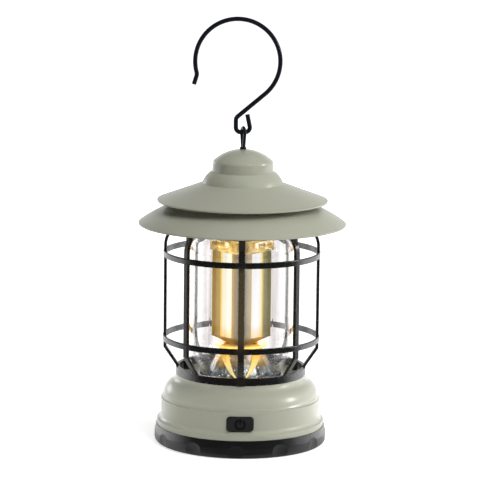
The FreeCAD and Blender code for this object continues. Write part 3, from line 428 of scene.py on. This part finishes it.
# %% Column
def lit_column():
    material = new_material("lit_column")
    tree, shader = graph_of(material)
    spot = measures(tree)
    across = ranged(tree, spot["Aside"], 0.0, COLUMN_REACH)
    golden = color_ramp(tree, across, [
        (0.0, (0.10, 0.06, 0.04)), (0.10, (0.26, 0.19, 0.12)), (0.20, (0.50, 0.39, 0.25)),
        (0.27, (0.95, 0.58, 0.16)), (0.30, (0.7, 0.58, 0.40)), (0.68, (1.0, 0.74, 0.14)),
        (0.75, (0.66, 0.40, 0.06)), (0.9, (0.58, 0.34, 0.03)), (1.0, (0.60, 0.40, 0.07))])
    olive = color_ramp(tree, across, [
        (0.0, (0.10, 0.08, 0.06)), (0.10, (0.28, 0.26, 0.22)), (0.20, (0.58, 0.56, 0.50)),
        (0.27, (0.80, 0.62, 0.30)), (0.30, (0.62, 0.56, 0.46)), (0.68, (1.0, 0.74, 0.12)),
        (0.75, (0.26, 0.24, 0.09)), (0.9, (0.19, 0.185, 0.07)), (1.0, (0.25, 0.27, 0.16))])
    bands = blended(tree, "MIX", golden, olive, spot["Right"])
    along = color_ramp(tree, spot["Height"], [
        (0.24, (0.50, 0.28, 0.06)), (0.305, (0.50, 0.36, 0.18)), (0.315, (0.8, 0.76, 0.66)),
        (0.5, (1.0, 0.96, 0.92)), (0.85, WHITE), (1.0, (0.75, 0.66, 0.5))])
    feed_all(tree, shader, {
        "Base Color": (0.07, 0.06, 0.035, 1), "Metallic": 0.6, "Roughness": 0.35,
        "Emission Color": blended(tree, "MULTIPLY", bands, along), "Emission Strength": 0.62})
    return material


dress(lit_column(), "led_column")

# %% [markdown]
# The cone at the column's foot is faceted and mirror bright. A plain mirror would show mostly the pale room,
# so its play of light is painted: upright streaks of light and dark run down it, each facet has its own
# tone, small cells sparkle, and the upper part picks up amber light.

# %% Bright cone
FACETS = 12
CONE_REACH = 20 * MM


def facet_tone(tree):
    """A random value for each facet, from the angle about the axis."""
    place = add_node(tree, "TexCoord").outputs["Object"]
    axis = add_node(tree, "SeparateXYZ", {"Vector": place}).outputs
    turn = calculated(tree, "ARCTAN2", axis["Y"], axis["X"])
    count = calculated(tree, "MULTIPLY_ADD", turn, FACETS / (2 * math.pi), FACETS / 2)
    number = calculated(tree, "FLOOR", count)
    return add_node(tree, "TexWhiteNoise", {"W": number}, noise_dimensions="1D").outputs["Value"]


def sparkling_cells(tree):
    place = add_node(tree, "TexCoord").outputs["Object"]
    cells = add_node(tree, "TexVoronoi", {"Vector": place, "Scale": 330})
    return color_ramp(tree, cells.outputs["Distance"], [(0.0, WHITE), (0.12, (0.75, 0.95, 1.0)), (0.2, DARK)])


def bright_cone():
    material = new_material("bright_cone")
    tree, shader = graph_of(material)
    spot = measures(tree)
    across = ranged(tree, spot["Aside"], 0.0, CONE_REACH)
    silver = color_ramp(tree, stretched_noise(tree, (420, 420, 60), 2.0), [
        (0.38, (0.02, 0.023, 0.025)), (0.46, (0.24, 0.27, 0.28)), (0.58, (0.44, 0.48, 0.49)), (0.68, WHITE)])
    shades = [
        color_ramp(tree, across, [(0.15, grey(0.3)), (0.5, WHITE)]),
        color_ramp(tree, spot["Height"], [(0.06, WHITE), (0.14, (0.35, 0.33, 0.28))]),
        color_ramp(tree, facet_tone(tree), [
            (0.0, (0.25, 0.28, 0.30)), (0.5, (0.62, 0.68, 0.70)), (1.0, WHITE)])]
    for shade in shades:
        silver = blended(tree, "MULTIPLY", silver, shade)
    amber = color_ramp(tree, spot["Height"], [(0.08, DARK), (0.15, (0.80, 0.40, 0.03))])
    amber = blended(tree, "MULTIPLY", amber, color_ramp(tree, across, [
        (0.1, grey(0.3)), (0.45, grey(0.4)), (0.55, WHITE), (0.9, grey(0.5))]))
    feed_all(tree, shader, {
        "Base Color": silver, "Metallic": 0.55, "Roughness": 0.12,
        "Emission Color": blended(tree, "ADD", sparkling_cells(tree), amber), "Emission Strength": 0.8})
    return material


dress(bright_cone(), "reflector")

# %% [markdown]
# The plate on top of the cone is clear and edge-lit: light runs inside it and leaves along its rim. A ramp by
# the distance from the axis paints that.

# %% Glowing rim
RIM_INNER = 10 * MM
RIM_OUTER = 15.8 * MM


def rim_glow():
    material = clear("rim_glow", (0.8, 0.5, 0.12), 1.4)
    tree, shader = graph_of(material)
    glow = color_ramp(tree, ranged(tree, measures(tree)["Radius"], RIM_INNER, RIM_OUTER), [
        (0.0, (0.20, 0.08, 0.01)), (0.80, (0.45, 0.22, 0.02)), (0.94, (1.0, 0.55, 0.05)),
        (1.0, (1.0, 0.62, 0.08))])
    feed_all(tree, shader, {"Transmission Weight": 0.4, "Emission Color": glow, "Emission Strength": 0.9})
    return material


dress(rim_glow(), "reflector_rim")

# %% [markdown]
# What sits inside the base is seen only with the cover off or in an exploded view, but it is finished too,
# with the same function as the outer pieces.

# %% Inner pieces
moulding = finished("inner_moulding", (0.06, 0.06, 0.065), 0.55, grain=2200, bump=0.2)
zinc = finished("zinc_steel", (0.55, 0.55, 0.56), 0.35, spread=0.2, tone=0.15, metallic=1.0)
nickel = finished("nickel_contact", (0.66, 0.64, 0.60), 0.25, spread=0.2, tone=0.15, metallic=1.0)
board = finished("board_green", (0.02, 0.16, 0.06), 0.4, tone=0.2, patch=500)
cell = finished("cell_sleeve", (0.10, 0.11, 0.12), 0.28, tone=0.15, patch=80, coat=0.4)
dress(moulding, "battery_tray", "board_bracket", "tactile_switch")
dress(zinc, "tray_screws", "centre_bolt", "eye_nut")
dress(nickel, "contact_plates", "contact_springs")
dress(board, "switch_board")
dress(cell, *matching("battery_cell_"))

# %% [markdown]
# A few small forms are modelled here. Operators act on whatever is selected, and loading leaves everything
# selected, so each modelling step starts by clearing the selection. A finished piece has its place frozen
# into its mesh, as the pieces of the frame have, and moves with one of the lantern's bodies.

# %% Modelling helpers
SMOOTH_ANGLE = math.radians(40)


def clear_selection():
    if bpy.context.object and bpy.context.object.mode != "OBJECT":
        bpy.ops.object.mode_set(mode="OBJECT")
    bpy.ops.object.select_all(action="DESELECT")


def choose(piece):
    """Select one piece and nothing else."""
    clear_selection()
    piece.select_set(True)
    bpy.context.view_layer.objects.active = piece


def settle(piece, name, body):
    """Freeze a piece's place into its mesh, then name it and tie it to a body."""
    choose(piece)
    piece.name = name
    bpy.ops.object.transform_apply(location=True, rotation=True, scale=True)
    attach(piece, body)
    print(name, "has", len(piece.data.polygons), "faces")


clear_selection()
print("pieces still selected:", len(bpy.context.selected_objects))

# %% [markdown]
# The power key carries the usual power sign, moulded proud of the key: an open ring with a bar in its gap.
# It could be painted on, but then it would catch no light. The ring starts as a torus; the faces in the gap
# are deleted and the two ends are closed.

# %% The ring of the power sign
SIGN_RADIUS = 2.75 * MM
SIGN_LINE = 0.45 * MM
SIGN_PROUD = 0.4 * MM
GAP_HALF_ANGLE = math.radians(30)
button_low, button_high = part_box("power_button")
sign_y = button_low.y + SIGN_LINE - SIGN_PROUD
sign_z = (button_low.z + button_high.z) / 2


def make_sign_ring():
    clear_selection()
    bpy.ops.mesh.primitive_torus_add(
        major_radius=SIGN_RADIUS, minor_radius=SIGN_LINE, major_segments=64, minor_segments=16,
        location=(0, sign_y, sign_z), rotation=(math.pi / 2, 0, 0))
    ring = bpy.context.object
    bpy.ops.object.transform_apply(location=True, rotation=True, scale=True)
    bpy.ops.object.mode_set(mode="EDIT")
    bpy.ops.mesh.select_all(action="DESELECT")
    bpy.ops.object.mode_set(mode="OBJECT")
    for face in ring.data.polygons:
        angle = math.atan2(face.center.x, face.center.z - sign_z)
        face.select = abs(angle) < GAP_HALF_ANGLE
    bpy.ops.object.mode_set(mode="EDIT")
    bpy.ops.mesh.select_mode(type="FACE")
    bpy.ops.mesh.delete(type="FACE")
    bpy.ops.mesh.select_all(action="DESELECT")
    bpy.ops.mesh.select_mode(type="EDGE")
    bpy.ops.mesh.select_non_manifold()
    bpy.ops.mesh.edge_face_add()
    bpy.ops.object.mode_set(mode="OBJECT")
    bpy.ops.object.shade_smooth_by_angle(angle=SMOOTH_ANGLE)
    ring.data.materials.append(sign_black)
    settle(ring, "power_sign_ring", "power_button")


make_sign_ring()

# %% [markdown]
# The bar is a cube, as thick as the ring's line and stretched to its length, with edges that a bevel rounds.
# Its scale is applied before the bevel, because a bevel on a stretched cube would be stretched too.

# %% The bar of the power sign
BAR_LENGTH = 1.1 * SIGN_RADIUS
BAR_RISE = 0.75 * SIGN_RADIUS
BAR_EDGE = 0.6 * SIGN_LINE


def soften(piece, width, segments):
    """Round a piece's edges with a bevel and smooth its faces."""
    choose(piece)
    bevel = piece.modifiers.new("soften", "BEVEL")
    bevel.width = width
    bevel.segments = segments
    bpy.ops.object.modifier_apply(modifier="soften")
    bpy.ops.object.shade_smooth_by_angle(angle=SMOOTH_ANGLE)


def make_sign_bar():
    clear_selection()
    bpy.ops.mesh.primitive_cube_add(size=1, location=(0, sign_y, sign_z + BAR_RISE))
    bar = bpy.context.object
    bar.scale = (2 * SIGN_LINE, 2 * SIGN_LINE, BAR_LENGTH)
    bpy.ops.object.transform_apply(location=True, rotation=True, scale=True)
    soften(bar, BAR_EDGE, 4)
    bar.data.materials.append(sign_black)
    settle(bar, "power_sign_bar", "power_button")


make_sign_bar()

# %% [markdown]
# The strips' light shows in the cone as bright horns that run down its front and narrow to a point. A mirror
# would only show them from one place, so they are modelled. Each is a Bezier curve with a round section: the
# radius of its points makes the taper. Converting it gives a mesh with loose end caps, which are merged with
# the rest. The front pair is copied, each copy with its own mesh, and turned for the back.

# %% Light horns on the cone
# Each end of a horn: its place, the handles before and after it, and its half width, in millimetres
HORN_HEAD = ((9.4, -11.6, 55.6), (9.6, -10.6, 56.6), (9.0, -14.2, 51.8), 2.6)
HORN_TIP = ((3.2, -20.6, 43.0), (5.6, -18.9, 45.8), (1.8, -21.6, 41.8), 0.5)
SEAM_WIDTH = 0.01 * MM


def make_horn_glow():
    material = new_material("horn_glow")
    tree, shader = graph_of(material)
    glow = color_ramp(tree, measures(tree)["Height"], [
        (0.03, (1.0, 0.72, 0.16)), (0.09, (1.0, 0.84, 0.36)), (0.14, (1.0, 0.74, 0.18)),
        (0.19, (1.0, 0.52, 0.03))])
    feed_all(tree, shader, {
        "Base Color": (0.06, 0.03, 0.0, 1), "Emission Color": glow, "Emission Strength": 1.0})
    return material


def on_side(spot, side):
    """A point in metres, on the right for side 1 and on the left for side -1."""
    return Vector((spot[0] * side, spot[1], spot[2])) * MM


def make_horn(side, material):
    clear_selection()
    bpy.ops.curve.primitive_bezier_curve_add()
    curve = bpy.context.object.data
    curve.dimensions = "3D"
    curve.bevel_depth = 1 * MM
    curve.bevel_resolution = 4
    curve.use_fill_caps = True
    for point, end in zip(curve.splines[0].bezier_points, (HORN_HEAD, HORN_TIP)):
        spot, before, after, width = end
        point.handle_left_type = point.handle_right_type = "FREE"
        point.co = on_side(spot, side)
        point.handle_left = on_side(before, side)
        point.handle_right = on_side(after, side)
        point.radius = width
    bpy.ops.object.convert(target="MESH")
    bpy.ops.object.mode_set(mode="EDIT")
    bpy.ops.mesh.select_all(action="SELECT")
    bpy.ops.mesh.remove_doubles(threshold=SEAM_WIDTH)
    bpy.ops.object.mode_set(mode="OBJECT")
    bpy.ops.object.shade_smooth_by_angle(angle=SMOOTH_ANGLE)
    horn = bpy.context.object
    horn.data.materials.append(material)
    return horn


def copied(piece):
    """A copy of a piece, with its own mesh."""
    choose(piece)
    bpy.ops.object.duplicate(linked=False)
    return bpy.context.object


horn_glow = make_horn_glow()
fronts = {"left": make_horn(-1, horn_glow), "right": make_horn(1, horn_glow)}
backs = {name: copied(horn) for name, horn in fronts.items()}
for name, horn in fronts.items():
    settle(horn, "light_horn_" + name + "_front", "lantern_body")
for name, horn in backs.items():
    horn.rotation_euler = (0, 0, math.pi)
    settle(horn, "light_horn_" + name + "_back", "lantern_body")

# %% [markdown]
# Two dark studs stand on the deck behind the lens, inside the foot ring. A stud is a cylinder with rounded
# rims. It is modelled once, and the second one is a copy on the other side.

# %% Deck studs
STUD_RADIUS = 2.2 * MM
STUD_HEIGHT = 6.6 * MM
STUD_EDGE = 0.8 * MM
STUD_CLEARANCE = 0.05 * MM
STUD_ASIDE = 32.4 * MM
STUD_BACK = 10 * MM
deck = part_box("cage_foot_ring")[0].z


def make_stud():
    clear_selection()
    bpy.ops.mesh.primitive_cylinder_add(
        vertices=32, radius=STUD_RADIUS, depth=STUD_HEIGHT,
        location=(-STUD_ASIDE, STUD_BACK, deck + STUD_CLEARANCE + STUD_HEIGHT / 2))
    stud = bpy.context.object
    soften(stud, STUD_EDGE, 3)
    stud.data.materials.append(rubber)
    return stud


left_stud = make_stud()
right_stud = copied(left_stud)
right_stud.location.x = STUD_ASIDE
settle(left_stud, "deck_stud_left", "lantern_body")
settle(right_stud, "deck_stud_right", "lantern_body")

# %% [markdown]
# Now the studio. The floor and the background are white to the camera and through glass. Reflections see
# white at the sides and behind, but a dim ceiling and a dark room in front, as in a tent with an opening for
# the lens. That is what keeps the middle of black, shiny things black and gives them bright flanks. The
# light that the room itself gives is weak, and weaker on the left than on the right.

# %% World
# From where to where along an axis, and the brightness at these two ends
ROOM_FRONT_TO_BACK = (-0.4, 0.6, 0.03, 1.0)
ROOM_WALL_TO_CEILING = (0.2, 0.6, 1.0, 0.3)
LIGHT_LEFT_TO_RIGHT = (-1.0, 1.0, 0.02, 0.26)


def make_world():
    world = bpy.data.worlds.new("white_tent")
    bpy.context.scene.world = world
    world.use_nodes = True
    tree = world.node_tree
    place = add_node(tree, "TexCoord").outputs["Generated"]
    axis = add_node(tree, "SeparateXYZ", {"Vector": place}).outputs
    path = add_node(tree, "LightPath").outputs
    depth = ranged(tree, axis["Y"], *ROOM_FRONT_TO_BACK, curve="SMOOTHSTEP")
    walls = calculated(tree, "MULTIPLY", depth, ranged(tree, axis["Z"], *ROOM_WALL_TO_CEILING))
    straight = calculated(tree, "MAXIMUM", path["Is Camera Ray"], path["Is Transmission Ray"])
    seen = calculated(tree, "MAXIMUM", straight, path["Is Glossy Ray"])
    room = tree.nodes["Background"]
    feed_all(tree, room, {"Color": calculated(tree, "MAXIMUM", straight, walls), "Strength": 1.0})
    soft = add_node(tree, "Background", {"Color": ranged(tree, axis["X"], *LIGHT_LEFT_TO_RIGHT)})
    show_mix(tree, tree.nodes["World Output"], seen, soft.outputs["Background"], room.outputs["Background"])
    return world


print("world", make_world().name, "is ready")

# %% [markdown]
# The floor is pale paper. Its own emission, seen by the camera and in glass and metal, lifts it to the white
# of the background. Near the lantern it is weaker, so that the shadow on the paper stays. In reflections the
# front part of the floor is dim, as the room in front is. A ray through clear glass counts as glossy too, so
# it is taken off before that part is dimmed.

# %% Floor
FLOOR_RADIUS = 8.0
FLOOR_DROP = 0.2 * MM
GLOW_NEAR_TO_FAR = (0.12, 0.9, 0.72, 1.0)
DIM_FROM = 0.06


def make_paper():
    material = new_material("white_paper")
    tree, shader = graph_of(material)
    place = add_node(tree, "TexCoord").outputs["Object"]
    depth = add_node(tree, "SeparateXYZ", {"Vector": place}).outputs["Y"]
    path = add_node(tree, "LightPath").outputs
    mirrored = calculated(tree, "MAXIMUM", path["Is Glossy Ray"], path["Is Transmission Ray"])
    seen = calculated(tree, "MAXIMUM", path["Is Camera Ray"], mirrored)
    glow = calculated(tree, "MULTIPLY", seen, ranged(tree, measures(tree)["Radius"], *GLOW_NEAR_TO_FAR))
    feed_all(tree, shader, {
        "Base Color": (*grey(0.84), 1), "Roughness": 0.9, "Specular IOR Level": 0.0,
        "Emission Color": glow, "Emission Strength": 1.0})
    bounced = calculated(tree, "SUBTRACT", path["Is Glossy Ray"], path["Is Transmission Ray"], clamp=True)
    front = calculated(tree, "MULTIPLY", bounced, ranged(tree, depth, DIM_FROM, -DIM_FROM))
    dim = add_node(tree, "Emission", {"Color": (*grey(0.05), 1)})
    show_mix(tree, tree.nodes["Material Output"], front, shader.outputs["BSDF"], dim.outputs["Emission"])
    return material


def make_floor():
    clear_selection()
    bpy.ops.mesh.primitive_circle_add(
        vertices=96, radius=FLOOR_RADIUS, fill_type="NGON", location=(0, 0, -FLOOR_DROP))
    floor = bpy.context.object
    floor.name = "paper_floor"
    floor.data.materials.append(make_paper())
    print(floor.name, "reaches", FLOOR_RADIUS, "m from the lantern")


make_floor()

# %% [markdown]
# Seven soft lamps light the lantern. The key in front, the one overhead and the one behind give the general
# light, and two narrow low beams lift the flanks of the base; reflections leave these five out, so that they
# make no hot spot. Two smaller lamps are mirrored on purpose: one on the right makes a highlight on the
# paint, and one far back on the left draws a glint there. The camera sees none of them.

# %% Lamps
def soft_lamp(name, place, aim, size, power, mirrored=False, spread=180):
    light = bpy.data.lights.new(name, "AREA")
    light.shape = "RECTANGLE"
    light.size, light.size_y = size
    light.energy = power
    light.spread = math.radians(spread)
    lamp = bpy.data.objects.new(name, light)
    lamp.location = place
    lamp.visible_glossy = mirrored
    lamp.visible_camera = False
    lamp.rotation_euler = (Vector(aim) - Vector(place)).to_track_quat("-Z", "Y").to_euler()
    bpy.context.scene.collection.objects.link(lamp)
    print(name, "gives", power, "W")


MIDDLE = (0, 0, 0.12)
soft_lamp("key_front", (0.62, -0.9, 1.1), MIDDLE, (0.6, 0.8), 14.2)
soft_lamp("side_right", (1.2, -0.08, 0.60), MIDDLE, (0.3, 0.35), 3.9, mirrored=True)
soft_lamp("glint_left", (-0.87, 1.1, 0.30), (0, 0, 0.04), (0.5, 0.35), 1.0, mirrored=True)
soft_lamp("fill_left", (-0.66, -0.2, 0.05), (-0.02, 0, 0.02), (0.2, 0.1), 0.042, spread=24)
soft_lamp("fill_right", (0.7, 0.1, 0.06), (0.02, 0, 0.02), (0.2, 0.1), 0.06, spread=24)
soft_lamp("overhead", (0.1, -0.3, 1.4), MIDDLE, (1.0, 1.0), 3.6)
soft_lamp("back_fill", (-0.3, 1.4, 0.6), MIDDLE, (0.8, 0.6), 3.0)

# %% [markdown]
# The camera stands about nine degrees above level, 1.7 m away with a long lens, which keeps upright edges
# nearly parallel. It is rolled by a little over half a degree, as the picture leans.

# %% Camera
CAMERA_REACH = 1.719
CAMERA_RISE = math.radians(9.4)
CAMERA_ROLL = math.radians(0.64)
FOCAL_LENGTH = 214.9
aim_point = Vector((-1.26 * MM, 0, 122.7 * MM))
camera_data = bpy.data.cameras.new("long_lens")
camera_data.lens = FOCAL_LENGTH
camera_data.clip_end = 20
camera = bpy.data.objects.new("camera", camera_data)
back = Vector((0, -math.cos(CAMERA_RISE), math.sin(CAMERA_RISE)))
camera.location = aim_point + back * CAMERA_REACH
camera.rotation_mode = "QUATERNION"
camera.rotation_quaternion = (-back).to_track_quat("-Z", "Y") @ Quaternion((0, 0, 1), CAMERA_ROLL)
bpy.context.scene.collection.objects.link(camera)
bpy.context.scene.camera = camera
bpy.context.scene.view_settings.view_transform = "Standard"
print("camera at", [round(value, 3) for value in camera.location])
